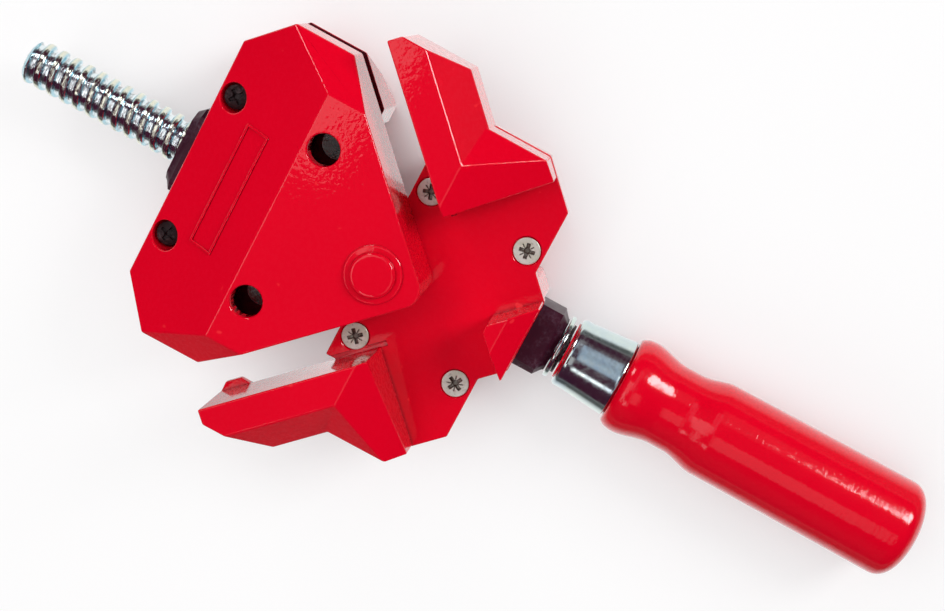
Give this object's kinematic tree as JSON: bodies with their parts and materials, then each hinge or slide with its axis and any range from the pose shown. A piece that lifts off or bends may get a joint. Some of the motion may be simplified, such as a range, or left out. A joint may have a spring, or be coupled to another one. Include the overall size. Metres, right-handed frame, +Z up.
{
  "type": "angle clamp",
  "caption": "Cast angle clamp with two fixed right-angle jaws, a screw-driven wedge block between them and a turned wooden handle.",
  "frame": {"origin": "on the bench plane, straight below the corner where the two fixed jaw faces meet", "axes": "+X along the spindle towards the handle, +Y across towards the left-hand jaw, +Z up from the bench"},
  "size_m": [0.2798, 0.1172, 0.0481],
  "materials": {
    "red_enamel": "gloss",
    "zinc_plate": "zinc plated, satin",
    "bright_steel": "polished",
    "black_iron": "blackened",
    "black_steel": "blackened",
    "red_lacquer": "glossy lacquer"
  },
  "bodies": {
    "base": {"base_top_shell": "red_enamel", "base_bottom_shell": "red_enamel", "base_screw_1": "zinc_plate", "base_screw_2": "zinc_plate", "base_screw_3": "zinc_plate", "base_screw_4": "zinc_plate"},
    "spindle_carrier": {"front_bush": "black_iron", "front_pin_upper": "bright_steel", "front_pin_lower": "bright_steel"},
    "spindle": {"spindle": "zinc_plate", "shoulder_washer": "bright_steel", "thrust_ring": "bright_steel", "snap_ring": "black_steel", "ferrule": "bright_steel", "handle": "red_lacquer"},
    "nut": {"swivel_nut": "black_iron", "nut_pin_upper": "bright_steel", "nut_pin_lower": "bright_steel"},
    "block": {"block_top_shell": "red_enamel", "block_bottom_shell": "red_enamel", "block_screw_1": "black_steel", "block_screw_2": "black_steel"}
  },
  "joints": [
    {"name": "spindle_swing", "type": "hinge", "parent": "base", "child": "spindle_carrier", "pos_m": [0.0075, 0, 0.015], "axis": [0, 0, 1], "range_deg": [-2.5, 2.5]},
    {"name": "spindle_spin", "type": "hinge", "parent": "spindle_carrier", "child": "spindle", "pos_m": [0.0075, 0, 0.015], "axis": [1, 0, 0], "range_deg": [-1018, 2422]},
    {"name": "nut_slide", "type": "slide", "parent": "spindle_carrier", "child": "nut", "axis": [1, 0, 0], "range_m": [-0.0269, 0.0113]},
    {"name": "block_swivel", "type": "hinge", "parent": "nut", "child": "block", "pos_m": [-0.084, 0, 0.015], "axis": [0, 0, 1], "range_deg": [-2.5, 2.5]}
  ],
  "couplings": [
    {"joint": "spindle_spin", "follows": "nut_slide", "rad_per_m": -1570.8},
    {"joint": "block_swivel", "follows": "spindle_swing", "ratio": -1}
  ]
}
